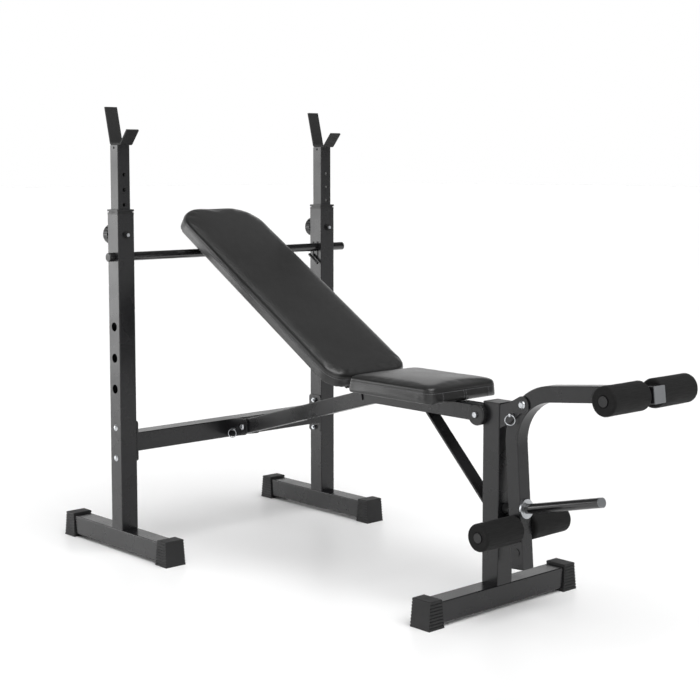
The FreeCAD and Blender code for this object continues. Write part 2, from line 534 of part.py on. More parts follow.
lever = bent_tube(LEVER_LOW, LEVER_CORNER, ARM_END, LEVER_BEND_R, LEVER, WALL)
lever = lever.cut(rod((px, -60, pz), (px, 60, pz), 6.0 + RUN))
lever = lever.cut(rod((LEVER_PIN[0], -60, LEVER_PIN[1]), (LEVER_PIN[0], 60, LEVER_PIN[1]), 4.5))
for ax in (UPPER_AXIS, LOWER_AXIS):
    lever = lever.cut(rod((ax[0], -60, ax[1]), (ax[0], 60, ax[1]), BAR_R))
down = (V(*LEVER_LOW, 0) - V(*LEVER_CORNER, 0)).normalize()  # X and Z held as x and y
side_hole = V(*LEVER_LOW, 0) - down * 39.0
side_plug = fuse(rod((side_hole.x, -LEVER / 2 - 1.5, side_hole.y), (side_hole.x, -LEVER / 2, side_hole.y), 10.5),
                 rod((side_hole.x, -LEVER / 2, side_hole.y), (side_hole.x, -LEVER / 2 + 6, side_hole.y), 8.9))
lever = lever.cut(rod((side_hole.x, -60, side_hole.y), (side_hole.x, 0, side_hole.y), 8.95))

tilt = math.radians(WEIGHT_TILT)
aim = V(math.cos(tilt), 0, math.sin(tilt))
root = V(*LEVER_LOW, 0) + down * ((LEVER_LOW[1] - WEIGHT_Z) / -down.y)
root = V(root.x, 0, root.y)
neck_r = WEIGHT_R - 0.5
lever = lever.cut(Part.makeCylinder(neck_r, 60, root, aim))
parts["lever_tube"] = lever
bar = fuse(Part.makeCylinder(neck_r, WEIGHT_NECK - 2, root + aim * 2, aim),
           Part.makeCylinder(WEIGHT_R, WEIGHT_END - WEIGHT_NECK, root + aim * WEIGHT_NECK, aim))
parts["weight_post"] = bar.cut(Part.makeCylinder(WEIGHT_R - 2.5, WEIGHT_END + 20, root, aim))
across = V(-down.y, 0, down.x).normalize()
flange = Part.makeCylinder(24.0, 30.0, root, aim).common(
    Part.makeCylinder(60.0, 5.0, root + across * (LEVER / 2 + 0.02), across))
parts["weight_post_flange"] = flange.cut(Part.makeCylinder(neck_r, 80, root, aim))
tip = root + aim * WEIGHT_END
cap = Part.makeCylinder(WEIGHT_R - 0.3, 8.0, tip, aim)
cap = cap.makeFillet(1.5, [e for e in cap.Edges if e.Closed and (e.CenterOfMass - tip).Length > 7.0])
parts["weight_post_cap"] = fuse(cap, Part.makeCylinder(WEIGHT_R - 2.55, 20.0, tip - aim * 20, aim))
parts["lever_end_plugs"] = group([
    aimed(plugged(LEVER, WALL, 16, 3.0), LEVER_LOW, (down.x, down.y)), side_plug])
out_dir = (V(*ARM_END, 0) - V(*LEVER_CORNER, 0)).normalize()
parts["arm_plug"] = aimed(plugged(LEVER, WALL, 16, 3.0), ARM_END, (out_dir.x, out_dir.y))

for name, ax in (("upper", UPPER_AXIS), ("lower", LOWER_AXIS)):
    bar = rod((ax[0], -ROLLER_Y1 + 2, ax[1]), (ax[0], ROLLER_Y1 - 2, ax[1]), BAR_R)
    parts[name + "_roller_bar"] = bar.cut(rod((ax[0], -200, ax[1]), (ax[0], 200, ax[1]), BAR_R - 2))
    foam = rod((ax[0], ROLLER_Y0, ax[1]), (ax[0], ROLLER_Y1, ax[1]), ROLLER_R)
    foam = foam.makeFillet(5.0, [e for e in foam.Edges if e.Closed])
    foam = foam.cut(rod((ax[0], 0, ax[1]), (ax[0], 200, ax[1]), BAR_R + 0.3))
    parts[name + "_roller_right"], parts[name + "_roller_left"] = mirror(foam), foam
plugs = []
for ax in (UPPER_AXIS, LOWER_AXIS):
    end = fuse(rod((ax[0], ROLLER_Y1 - 2, ax[1]), (ax[0], ROLLER_Y1 + 1, ax[1]), BAR_R),
               rod((ax[0], ROLLER_Y1 - 18, ax[1]), (ax[0], ROLLER_Y1 - 2, ax[1]), BAR_R - 2.05))
    plugs += [end, mirror(end)]
parts["roller_bar_plugs"] = group(plugs)

# rubber stop on the front post that the lever leans on
stop_z = 258.0
stop_face = V(LEVER_LOW[0], 0, LEVER_LOW[1]) - V(down.x, 0, down.y) * ((stop_z - LEVER_LOW[1]) / -down.y)
stop = rod((POST_X + h, 0, stop_z), (POST_X + h + 60, 0, stop_z), 13.0)
keep_out = Part.makeBox(200, 200, 400, V(-100, -100, -200))
keep_out = aimed(keep_out, (0, 0), (-down.x, -down.y))
keep_out.translate(stop_face + across * (100 - LEVER / 2 - REST_GAP))
parts["stop_bumper"] = stop.cut(keep_out)

# ---------------------------------------------------------------- origin and export
total = FreeCAD.BoundBox()
for shape in parts.values():
    total.add(shape.BoundBox)
shift = V(-total.Center.x, -total.Center.y, -total.ZMin)
os.makedirs("parts", exist_ok=True)
for name, shape in parts.items():
    shape.translate(shift)
    shape.exportStep("parts/" + name + ".step")
print(len(parts), "nodes, shift", shift, "size", total.XLength, total.YLength, total.ZLength)
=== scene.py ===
# %% [markdown]
# # An adjustable weight bench with a barbell rack and a leg developer
# The real bench is welded from square steel tube with a black powder coat. It carries two
# cushions in stitched PVC leather, four foam rollers, moulded rubber feet and zinc plated bolts.
# The steelwork, feet, knobs and bolts come from the engineering model and keep their shape here.
# This script gives them their finishes, and makes everything soft as a detailed piece.
# All lengths are in metres, and every place is read from the engineering model.

# %% Load the engineering model
import bpy
import bmesh
import json
import math
from mathutils import Matrix, Vector


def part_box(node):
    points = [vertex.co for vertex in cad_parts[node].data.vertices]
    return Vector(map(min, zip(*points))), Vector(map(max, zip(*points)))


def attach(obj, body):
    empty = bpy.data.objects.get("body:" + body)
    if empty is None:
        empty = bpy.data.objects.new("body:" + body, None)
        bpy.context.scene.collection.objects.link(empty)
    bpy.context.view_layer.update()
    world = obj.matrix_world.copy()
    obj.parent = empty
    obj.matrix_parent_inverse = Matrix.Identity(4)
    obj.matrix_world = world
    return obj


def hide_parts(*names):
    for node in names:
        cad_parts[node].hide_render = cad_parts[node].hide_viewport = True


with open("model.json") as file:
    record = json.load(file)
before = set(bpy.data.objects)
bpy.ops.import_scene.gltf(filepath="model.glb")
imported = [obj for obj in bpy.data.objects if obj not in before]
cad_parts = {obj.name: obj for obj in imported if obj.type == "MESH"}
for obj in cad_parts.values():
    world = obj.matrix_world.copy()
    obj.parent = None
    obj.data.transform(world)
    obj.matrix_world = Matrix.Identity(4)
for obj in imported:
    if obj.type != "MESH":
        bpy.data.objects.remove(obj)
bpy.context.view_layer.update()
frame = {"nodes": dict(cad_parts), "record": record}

# %% [markdown]
# Every finish below is built from a few shader nodes. One helper adds a node, fills in its
# settings and plugs in its links, so that each material reads like a short recipe. Colours are
# written as the hex values a paint chart would give, and turned to linear light in one place.
# A pattern's scale is worked out from the size that the real grain has in millimetres.


# %% Helpers for materials
def linear(hex_colour):
    """sRGB hex to a linear colour with alpha."""
    parts = [int(hex_colour[i:i + 2], 16) / 255 for i in (1, 3, 5)]
    return [c / 12.92 if c <= 0.04045 else ((c + 0.055) / 1.055) ** 2.4 for c in parts] + [1.0]


def add(material, kind, settings=None, **links):
    """Adds a shader node. settings are its own properties or the values of its sockets, by name;
    links name a socket and the output that feeds it."""
    node = material.node_tree.nodes.new(kind)
    for name, value in (settings or {}).items():
        if isinstance(name, int) or name in node.inputs:
            node.inputs[name].default_value = value
        else:
            setattr(node, name, value)
    for name, output in links.items():
        key = int(name[1:]) if name[1:].isdigit() else name.replace("_", " ")
        material.node_tree.links.new(output, node.inputs[key])
    return node


def start_material(name, **surface):
    """A new material with its Principled shader set, and the place on the object in metres."""
    material = bpy.data.materials.new(name)
    material.use_nodes = True
    shader = material.node_tree.nodes["Principled BSDF"]
    for socket, value in surface.items():
        shader.inputs[socket.replace("_", " ")].default_value = value
    place = add(material, "ShaderNodeTexCoord").outputs["Object"]
    return material, shader, place


def grain(mm):
    """Noise scale that makes a pattern whose grains are about this many millimetres apart."""
    return 1000.0 / mm


def plug(material, output, shader, socket):
    material.node_tree.links.new(output, shader.inputs[socket])


# %% [markdown]
# ## Powder coat
# Powder coat is a dry polyester paint that is baked on. It flows out to a semi-gloss skin with a
# faint orange peel, a soft ripple some three millimetres across, and a very fine grit.
# It hides the steel fully, so it is a dielectric: metallic stays at 0 and the IOR near 1.5.
# Two noise layers feed one bump, and a slow third one varies the gloss as handling does.


# %% Powder coat finishes
def powder_coat(name, dark, light, gloss, dull, peel_mm=3.2):
    material, shader, place = start_material(name, IOR=1.5, Metallic=0.0)
    cloud = add(material, "ShaderNodeTexNoise", {"Scale": grain(90), "Detail": 3.0}, Vector=place)
    tint = add(material, "ShaderNodeMix", {"data_type": "RGBA", 6: linear(dark), 7: linear(light)},
               _0=cloud.outputs["Fac"])
    plug(material, tint.outputs[2], shader, "Base Color")
    rough = add(material, "ShaderNodeMapRange", {"From Min": 0.35, "From Max": 0.7, "To Min": gloss,
                                                 "To Max": dull}, Value=cloud.outputs["Fac"])
    plug(material, rough.outputs[0], shader, "Roughness")
    peel = add(material, "ShaderNodeTexNoise", {"Scale": grain(peel_mm), "Detail": 2.0}, Vector=place)
    grit = add(material, "ShaderNodeTexNoise", {"Scale": grain(0.9), "Detail": 1.0}, Vector=place)
    fine = add(material, "ShaderNodeBump", {"Strength": 0.10, "Distance": 0.0002},
               Height=grit.outputs["Fac"])
    ripple = add(material, "ShaderNodeBump", {"Strength": 0.16, "Distance": 0.0006},
                 Height=peel.outputs["Fac"], Normal=fine.outputs["Normal"])
    plug(material, ripple.outputs["Normal"], shader, "Normal")
    return material


frame_coat = powder_coat("semi_gloss_black_powder_coat", "#101011", "#19191b", 0.24, 0.33)
hook_coat = powder_coat("matt_black_powder_coat", "#070707", "#0d0d0d", 0.62, 0.72, 1.8)
print("powder coat ripple:", round(grain(3.2)), "per metre")

# %% [markdown]
# ## Gloss enamel on round bar
# The cross tube and the weight post are sprayed with a harder black enamel, which is nearly a
# mirror. A clear coat over a dark base gives the long, sharp highlight of lacquered round bar.
# Faint scratches along the bar, from weight plates sliding on and off, break it up.


# %% Gloss enamel
enamel, shader, place = start_material("gloss_black_enamel", IOR=1.52, Coat_Weight=0.6,
                                       Coat_Roughness=0.06)
stretch = add(enamel, "ShaderNodeMapping", {"Scale": (1.0, 0.08, 1.0)}, Vector=place)
scratch = add(enamel, "ShaderNodeTexNoise", {"Scale": grain(1.6), "Detail": 4.0},
              Vector=stretch.outputs["Vector"])
tint = add(enamel, "ShaderNodeMix", {"data_type": "RGBA", 6: linear("#0b0b0c"), 7: linear("#161617")},
           _0=scratch.outputs["Fac"])
plug(enamel, tint.outputs[2], shader, "Base Color")
rough = add(enamel, "ShaderNodeMapRange", {"From Min": 0.4, "From Max": 0.75, "To Min": 0.16,
                                           "To Max": 0.34}, Value=scratch.outputs["Fac"])
plug(enamel, rough.outputs[0], shader, "Roughness")
bump = add(enamel, "ShaderNodeBump", {"Strength": 0.05, "Distance": 0.0002},
           Height=scratch.outputs["Fac"])
plug(enamel, bump.outputs["Normal"], shader, "Normal")

# %% [markdown]
# ## Zinc plated steel
# Bolts, nuts and pins are steel with a thin bright zinc plating. It is a metal, so metallic is 1
# and the IOR keeps its default. Plating in a barrel leaves tiny dull spots and a slightly mottled
# grey, which a small Voronoi pattern and a noise give.


# %% Zinc plating
zinc, shader, place = start_material("bright_zinc_plated_steel", Metallic=1.0)
mottle = add(zinc, "ShaderNodeTexNoise", {"Scale": grain(4), "Detail": 5.0}, Vector=place)
spangle = add(zinc, "ShaderNodeTexVoronoi", {"Scale": grain(1.5)}, Vector=place)
tint = add(zinc, "ShaderNodeMix", {"data_type": "RGBA", 6: linear("#a9acb0"), 7: linear("#d7d9dc")},
           _0=mottle.outputs["Fac"])
plug(zinc, tint.outputs[2], shader, "Base Color")
rough = add(zinc, "ShaderNodeMapRange", {"To Min": 0.2, "To Max": 0.42},
            Value=spangle.outputs["Distance"])
plug(zinc, rough.outputs[0], shader, "Roughness")
bump = add(zinc, "ShaderNodeBump", {"Strength": 0.12, "Distance": 0.0003}, Height=mottle.outputs["Fac"])
plug(zinc, bump.outputs["Normal"], shader, "Normal")

# %% [markdown]
# ## Moulded rubber and plastics
# The feet are black rubber from a mould: deep black, quite matt, with a fine pebble from the
# mould wall and a grey bloom where the rubber has been touched. Knobs, caps and plugs are
# polypropylene, a little shinier, with the spark eroded grain that hides finger marks. The grey
# caps and plugs are black plastic too; their mid grey is a painted reflection of the sheen on
# their glossy end faces. Both are one recipe with other numbers, because both get their surface
# from the mould.


# %% Moulded finishes
def moulded(name, dark, light, gloss, dull, grain_mm, depth):
    material, shader, place = start_material(name, IOR=1.49)
    bloom = add(material, "ShaderNodeTexNoise", {"Scale": grain(28), "Detail": 6.0}, Vector=place)
    tint = add(material, "ShaderNodeMix", {"data_type": "RGBA", 6: linear(dark), 7: linear(light)},
               _0=bloom.outputs["Fac"])
    plug(material, tint.outputs[2], shader, "Base Color")
    rough = add(material, "ShaderNodeMapRange", {"From Min": 0.3, "From Max": 0.7, "To Min": gloss,
                                                 "To Max": dull}, Value=bloom.outputs["Fac"])
    plug(material, rough.outputs[0], shader, "Roughness")
    pebble = add(material, "ShaderNodeTexVoronoi", {"Scale": grain(grain_mm),
                                                    "feature": "SMOOTH_F1"}, Vector=place)
    bump = add(material, "ShaderNodeBump", {"Strength": 0.35, "Distance": depth},
               Height=pebble.outputs["Distance"])
    plug(material, bump.outputs["Normal"], shader, "Normal")
    return material


foot_rubber = moulded("moulded_black_rubber", "#0c0c0d", "#161617", 0.50, 0.64, 1.2, 0.0003)
black_plastic = moulded("grained_black_polypropylene", "#0d0d0e", "#171718", 0.32, 0.44, 1.0, 0.0002)
# painted reflection: black caps and plugs are given a mid grey colour for the sheen on their glossy ends
grey_plastic = moulded("black_polypropylene_painted_grey_sheen", "#5c5e60", "#737577", 0.36, 0.48, 1.0, 0.00015)

# %% [markdown]
# ## PVC leather
# The cushions are covered with black PVC leather: a knitted cloth with an embossed vinyl skin.
# The emboss is a field of small rounded cells, about two millimetres wide, with narrow valleys,
# which a Voronoi distance gives. The cells carry a soft sheen, so the skin is lighter where it
# turns away from the eye. The colour is painted darker down in the valleys than on the cell
# tops, which is painted shade. A broad noise makes it slightly duller in places, where hands rest.


# %% PVC leather
leather, shader, place = start_material("black_pvc_leather", IOR=1.5, Sheen_Weight=0.03,
                                        Sheen_Roughness=0.4, Coat_Weight=0.35, Coat_Roughness=0.22)
cells = add(leather, "ShaderNodeTexVoronoi", {"Scale": grain(2.1), "feature": "DISTANCE_TO_EDGE"},
            Vector=place)
cell_shape = add(leather, "ShaderNodeMapRange", {"From Max": 0.28, "interpolation_type": "SMOOTHSTEP"},
                 Value=cells.outputs["Distance"])
wear = add(leather, "ShaderNodeTexNoise", {"Scale": grain(120), "Detail": 4.0}, Vector=place)
# painted shade: the colour is darker in the emboss valleys than on the cell tops
tint = add(leather, "ShaderNodeMix", {"data_type": "RGBA", 6: linear("#070707"), 7: linear("#101010")},
           _0=cell_shape.outputs[0])
plug(leather, tint.outputs[2], shader, "Base Color")
rough = add(leather, "ShaderNodeMapRange", {"From Min": 0.35, "From Max": 0.7, "To Min": 0.36,
                                            "To Max": 0.47}, Value=wear.outputs["Fac"])
plug(leather, rough.outputs[0], shader, "Roughness")
pores = add(leather, "ShaderNodeTexNoise", {"Scale": grain(0.8), "Detail": 2.0}, Vector=place)
fine = add(leather, "ShaderNodeBump", {"Strength": 0.12, "Distance": 0.0002}, Height=pores.outputs["Fac"])
emboss = add(leather, "ShaderNodeBump", {"Strength": 0.35, "Distance": 0.00035},
             Height=cell_shape.outputs[0], Normal=fine.outputs["Normal"])
plug(leather, emboss.outputs["Normal"], shader, "Normal")
print("leather cells:", round(grain(2.1)), "per metre")

# %% [markdown]
# ## Thread, foam and lining
# The seams are sewn with a bonded nylon thread, slightly lighter than the cover and twisted, so
# each stitch shows small diagonal strands; their colour is painted darker in the grooves between
# the strands, which is painted shade. The rollers are closed cell foam tube with a skin: nearly
# no gloss, pinholes, and fine lines along the tube from the extruder. The pinholes are painted
# darker than the skin, which is painted shade. The boards below the cushions are plywood behind
# a black lining, a cloth of melted fibres with small bond dimples.

# %% Thread
thread, shader, place = start_material("black_nylon_thread", IOR=1.5, Roughness=0.5)
twist = add(thread, "ShaderNodeTexWave", {"Scale": grain(3.0), "bands_direction": "DIAGONAL"},
            Vector=place)
# painted shade: the twist bands colour the grooves between the strands darker
tint = add(thread, "ShaderNodeMix", {"data_type": "RGBA", 6: linear("#4a4a4c"), 7: linear("#77777a")},
           _0=twist.outputs["Fac"])
plug(thread, tint.outputs[2], shader, "Base Color")
bump = add(thread, "ShaderNodeBump", {"Strength": 0.4, "Distance": 0.0002}, Height=twist.outputs["Fac"])
plug(thread, bump.outputs["Normal"], shader, "Normal")

# %% Foam
foam, shader, place = start_material("black_closed_cell_foam", IOR=1.35, Sheen_Weight=0.02,
                                     Sheen_Roughness=0.6)
long_way = add(foam, "ShaderNodeMapping", {"Scale": (1.0, 0.06, 1.0)}, Vector=place)
lines = add(foam, "ShaderNodeTexNoise", {"Scale": grain(2.2), "Detail": 3.0},
            Vector=long_way.outputs["Vector"])
holes = add(foam, "ShaderNodeTexVoronoi", {"Scale": grain(1.7)}, Vector=place)
pits = add(foam, "ShaderNodeMapRange", {"From Min": 0.05, "From Max": 0.35},
           Value=holes.outputs["Distance"])
# painted shade: the colour is darker down in the pinholes
tint = add(foam, "ShaderNodeMix", {"data_type": "RGBA", 6: linear("#030303"), 7: linear("#0c0c0c")},
           _0=pits.outputs[0])
plug(foam, tint.outputs[2], shader, "Base Color")
rough = add(foam, "ShaderNodeMapRange", {"From Min": 0.3, "From Max": 0.7, "To Min": 0.72,
                                         "To Max": 0.9}, Value=lines.outputs["Fac"])
plug(foam, rough.outputs[0], shader, "Roughness")
pit_bump = add(foam, "ShaderNodeBump", {"Strength": 0.3, "Distance": 0.0004}, Height=pits.outputs[0])
line_bump = add(foam, "ShaderNodeBump", {"Strength": 0.35, "Distance": 0.0008},
                Height=lines.outputs["Fac"], Normal=pit_bump.outputs["Normal"])
plug(foam, line_bump.outputs["Normal"], shader, "Normal")

# %% Lining
lining, shader, place = start_material("black_polypropylene_lining", IOR=1.48, Roughness=0.85)
fibres = add(lining, "ShaderNodeTexNoise", {"Scale": grain(1.4), "Detail": 6.0, "Distortion": 1.2},
             Vector=place)
bonds = add(lining, "ShaderNodeTexVoronoi", {"Scale": grain(3.5)}, Vector=place)
tint = add(lining, "ShaderNodeMix", {"data_type": "RGBA", 6: linear("#0b0b0b"), 7: linear("#202020")},
           _0=fibres.outputs["Fac"])
plug(lining, tint.outputs[2], shader, "Base Color")
dimple = add(lining, "ShaderNodeBump", {"Strength": 0.3, "Distance": 0.0003},
             Height=bonds.outputs["Distance"])
fluff = add(lining, "ShaderNodeBump", {"Strength": 0.25, "Distance": 0.0003}, Height=fibres.outputs["Fac"],
            Normal=dimple.outputs["Normal"])
plug(lining, fluff.outputs["Normal"], shader, "Normal")

# %% [markdown]
# ## Finishes on the steelwork
# Each node of the engineering model already names its finish in a slot. Going through the slots
# is shorter and safer than a list of nodes: a part that is added later gets its finish too.

# %% Put the finishes on
finish_of = {"frame_paint": frame_coat, "hook_paint": hook_coat, "black_tube": enamel, "zinc": zinc,
             "rubber": foot_rubber, "black_plastic": black_plastic, "grey_plastic": grey_plastic,
             "pad_cover": leather, "plywood": lining, "foam": foam}
slot_of = {part["node"]: part["material_slot"] for part in frame["record"]["subparts"]}
for name, node in frame["nodes"].items():
    node.data.materials.clear()
    node.data.materials.append(finish_of[slot_of[name]])
print("finished nodes:", len(slot_of))

# %% [markdown]
# ## The cushions
# A bench cushion is foam glued to a board, with a sewn cover pulled tight over both. The cover
# has a top panel and a side band, joined by a seam a little below the top edge, and the foam
# pushes the top up into a crown. It could be a box with a bevel, but then the sides stay flat.
# Cloth simulation does what the foam does: a block is blown up from inside, so that its top
# crowns and its sides swell between the corners. Its underside is pressed back flat afterwards,
# because there it sits on the board.


# %% Rounded block for a cushion
def rounded_outline(half_long, half_wide, radii, steps=12):
    """Closed outline of a rectangle whose corners have radii (at its -X end, at its +X end),
    anticlockwise from the +X side, with the outward direction at each point."""
    points, outward = [], []
    for cx, cy, turn in ((1, 1, 0), (-1, 1, 90), (-1, -1, 180), (1, -1, 270)):
        radius = radii[1] if cx > 0 else radii[0]
        centre = Vector((cx * (half_long - radius), cy * (half_wide - radius), 0))
        for i in range(steps + 1):
            a = math.radians(turn + 90 * i / steps)
            away = Vector((math.cos(a), math.sin(a), 0))
            points.append(centre + away * radius)
            outward.append(away)
    return points, outward


def new_piece(name, mesh_maker, material):
    """A mesh object from a bmesh that mesh_maker fills, with smooth faces and one material."""
    bm = bmesh.new()
    mesh_maker(bm)
    bmesh.ops.recalc_face_normals(bm, faces=bm.faces)
    mesh = bpy.data.meshes.new(name)
    bm.to_mesh(mesh)
    bm.free()
    for face in mesh.polygons:
        face.use_smooth = True
    mesh.materials.append(material)
    piece = bpy.data.objects.new(name, mesh)
    bpy.context.scene.collection.objects.link(piece)
    return piece


def stacked(outline_at, heights):
    """A mesh maker: rings of the outline at several heights, closed at both ends."""
    def make(bm):
        rings = [[bm.verts.new(p + Vector((0, 0, z))) for p in outline_at(z)] for z in heights]
        for low, high in zip(rings, rings[1:]):
            for i in range(len(low)):
                j = (i + 1) % len(low)
                bm.faces.new((low[i], low[j], high[j], high[i]))
        bm.faces.new(rings[0][::-1])
        bm.faces.new(rings[-1])
    return make


# %% Blow up a cushion with cloth
def apply_modifiers(piece):
    """Turns what the modifiers make into the piece's own mesh."""
    graph = bpy.context.evaluated_depsgraph_get()
    done = bpy.data.meshes.new_from_object(piece.evaluated_get(graph))
    old, piece.data = piece.data, done
    piece.modifiers.clear()
    bpy.data.meshes.remove(old)


def blown_up(piece, voxel, pressure, most, floor_z):
    """Cloth simulation on a closed block. No point moves further than most, and none goes below
    floor_z, where the board is."""
    remesh = piece.modifiers.new("grid", "REMESH")
    remesh.mode, remesh.voxel_size = "VOXEL", voxel
    apply_modifiers(piece)
    before = [v.co.copy() for v in piece.data.vertices]
    low = piece.vertex_groups.new(name="glued")
    low.add([v.index for v in piece.data.vertices if v.co.z < floor_z + voxel * 0.8], 1.0, "REPLACE")
    cloth = piece.modifiers.new("cloth", "CLOTH")
    cloth.settings.quality = 6
    cloth.settings.mass = 0.4
    cloth.settings.tension_stiffness = cloth.settings.compression_stiffness = 18
    cloth.settings.bending_stiffness = 1.2
    cloth.settings.use_pressure = True
    cloth.settings.uniform_pressure_force = pressure
    cloth.settings.vertex_group_mass = "glued"
    cloth.settings.effector_weights.gravity = 0.0
    cloth.point_cache.frame_start, cloth.point_cache.frame_end = 1, 20
    for number in range(1, 21):
        bpy.context.scene.frame_set(number)
    apply_modifiers(piece)
    piece.vertex_groups.clear()
    bpy.context.scene.frame_set(1)
    travel = 0.0
    for v, start in zip(piece.data.vertices, before):
        move = v.co - start
        if move.length > most:
            move *= most / move.length
        v.co = start + move
        v.co.z = max(v.co.z, floor_z)
        travel = max(travel, move.length)
    for face in piece.data.polygons:
        face.use_smooth = True
    return travel


# %% [markdown]
# The cushion block is drawn lying flat, with its board side at the bottom. Its outline is a
# rectangle with large round corners. Near the top the outline is drawn in along a quarter
# circle, which is the rolled edge. The simulated mesh is smoothed, to take out the small puckers
# that cloth leaves, and brought to the size of the block plus the thickness of the cover.
# At the seam height the cover is pulled in by a millimetre or two all round, which is the crease
# that a sewn seam makes; because the remesh would smooth such a fine crease away, the crease is
# pressed in last.


# %% Cushion maker
VOXEL, PRESSURE, MOST_SWELL = 0.005, 4.0, 0.003
COVER = 0.002                                # how far the cover stands out past the foam block
CREASE_DEPTH, CREASE_WIDTH = 0.0018, 0.0022


def cushion(name, size, radii, edge, crown, seam_drop):
    """A cushion lying flat: X is its length, centred, and Z = 0 is its underside."""
    half_long, half_wide, thick = size.x / 2, size.y / 2, size.z
    heights = [0.0, thick * 0.25, thick * 0.5, thick - edge]
    heights += [thick - edge + edge * math.sin(math.radians(a)) for a in (15, 30, 45, 60, 75, 90)]

    def outline_at(z):
        rise = max(0.0, z - (thick - edge)) / edge
        inset = edge * (1 - math.sqrt(max(0.0, 1 - rise * rise)))
        return rounded_outline(half_long - inset, half_wide - inset,
                               [max(r - inset, 0.003) for r in radii])[0]

    piece = new_piece(name, stacked(outline_at, heights), leather)
    travel = blown_up(piece, VOXEL, PRESSURE, MOST_SWELL, 0.0)
    smooth = piece.modifiers.new("smooth", "SMOOTH")
    smooth.factor, smooth.iterations = 0.5, 6
    apply_modifiers(piece)
    reach = [max(abs(v.co[i]) for v in piece.data.vertices) for i in (0, 1)]
    for v in piece.data.vertices:
        v.co.x *= (half_long + COVER) / reach[0]
        v.co.y *= (half_wide + COVER) / reach[1]
    seam_z, band = thick - seam_drop, 0.012
    for v in piece.data.vertices:
        u, w = v.co.x / half_long, v.co.y / half_wide
        middle = max(0.0, 1 - abs(u) ** 5) * max(0.0, 1 - abs(w) ** 2.5)
        v.co.z += crown * middle * max(0.0, (v.co.z - thick * 0.6) / (thick * 0.4))
        side = max(abs(v.co.x) - (half_long - band), abs(v.co.y) - (half_wide - band), 0.0) / band
        v.co.z = max(v.co.z, 0.0)
        crease = math.exp(-((v.co.z - seam_z) / CREASE_WIDTH) ** 2) * min(1.0, side)
        v.co.x -= CREASE_DEPTH * crease * math.copysign(min(1.0, abs(u) ** 6), v.co.x)
        v.co.y -= CREASE_DEPTH * crease * math.copysign(min(1.0, abs(w) ** 6), v.co.y)
    finer = piece.modifiers.new("finer", "SUBSURF")
    finer.levels = finer.render_levels = 1
    apply_modifiers(piece)
    for face in piece.data.polygons:
        face.use_smooth = True
    print(name, "swelled by", round(travel * 1000, 1), "mm,", len(piece.data.vertices), "points")
    return piece


# %% [markdown]
# ## Seams
# A lapped seam shows as a soft ridge of folded cover with a row of stitches beside it. The row
# is modelled stitch by stitch: each is a small lozenge of thread, five millimetres long with a
# gap of one and a half, that sinks into the leather at both ends. They are placed on the
# finished cushion by walking along the seam's path and looking for the surface with a ray.


# %% Stitches along a path
def surface_points(piece, path, outward, reach=0.03):
    """Points on the piece below each path point, with the surface normals there."""
    found = []
    for point, away in zip(path, outward):
        hit, spot, normal, _ = piece.ray_cast(point + away * reach, -away, distance=reach * 2)
        if hit:
            found.append((spot, normal))
    return found


def stitches(name, found, pitch=0.0065, length=0.0048, radius=0.0007):
    """A row of stitches along surface points that lie close together."""
    def make(bm):
        walked, next_at = 0.0, pitch / 2
        for (a, na), (b, nb) in zip(found, found[1:]):
            gap = (b - a).length
            if gap < 1e-6 or gap > 0.02:
                continue
            while next_at <= walked + gap:
                t = (next_at - walked) / gap
                spot, up = a.lerp(b, t), na.lerp(nb, t).normalized()
                ahead = (b - a).normalized()
                side = up.cross(ahead).normalized()
                turn = Matrix((ahead, side, up)).transposed().to_4x4()
                ball = bmesh.ops.create_uvsphere(bm, u_segments=8, v_segments=6, radius=1.0)
                size = Matrix.Diagonal((length / 2, radius, radius * 0.9, 1.0))
                bmesh.ops.transform(bm, matrix=Matrix.Translation(spot + up * radius * 0.25) @ turn @ size,
                                    verts=ball["verts"])
                next_at += pitch
            walked += gap
    return new_piece(name, make, thread)


def cord_along(name, found, radius, lift, material, closed=True):
    """A soft round bead along surface points: a fold of cover or a piping."""
    curve = bpy.data.curves.new(name, "CURVE")
    curve.dimensions, curve.bevel_depth, curve.bevel_resolution = "3D", radius, 3
    line = curve.splines.new("POLY")
    line.points.add(len(found) - 1)
    for slot, (spot, normal) in zip(line.points, found):
        slot.co = (*(spot + normal * lift), 1.0)
    line.use_cyclic_u = closed
    bead = bpy.data.objects.new(name, curve)
    bpy.context.scene.collection.objects.link(bead)
    apply_curve = bpy.data.meshes.new_from_object(bead.evaluated_get(bpy.context.evaluated_depsgraph_get()))
    bpy.data.objects.remove(bead)
    piece = bpy.data.objects.new(name, apply_curve)
    piece.data.materials.clear()
    piece.data.materials.append(material)
    for face in piece.data.polygons:
        face.use_smooth = True
    bpy.context.scene.collection.objects.link(piece)
    return piece


def ring_path(size, radii, z, step=0.002):
    """Closely spaced points round a cushion's side, with the outward direction at each."""
    rough, normals = rounded_outline(size.x / 2, size.y / 2, radii, 24)
    points, outward = [], []
    for i, (a, na) in enumerate(zip(rough, normals)):
        b, nb = rough[(i + 1) % len(rough)], normals[(i + 1) % len(rough)]
        count = max(1, round((b - a).length / step))
        for k in range(count):
            points.append(a.lerp(b, k / count) + Vector((0, 0, z)))
            outward.append(na.lerp(nb, k / count).normalized())
    return points, outward


def dressed(piece, size, radii, seam_z, stitch_drop):
    """The band seam of a cushion: a thin bead at the seam and a row of stitches under it."""
    points, outward = ring_path(size, radii, seam_z)
    bead = cord_along(piece.name + "_seam_bead", surface_points(piece, points, outward), 0.0011,
                      -0.0002, leather)
    points, outward = ring_path(size, radii, seam_z - stitch_drop)
    row = stitches(piece.name + "_stitches", surface_points(piece, points, outward))
    return [bead, row]


# %% [markdown]
# ## Placing a cushion
# The cushion is made lying flat at the origin. Its place comes from the engineering model: the
# box of the plain block it replaces. The seat lies level. The backrest leans, so its angle is
# taken from the largest face of the board below it, and its length from the same block.


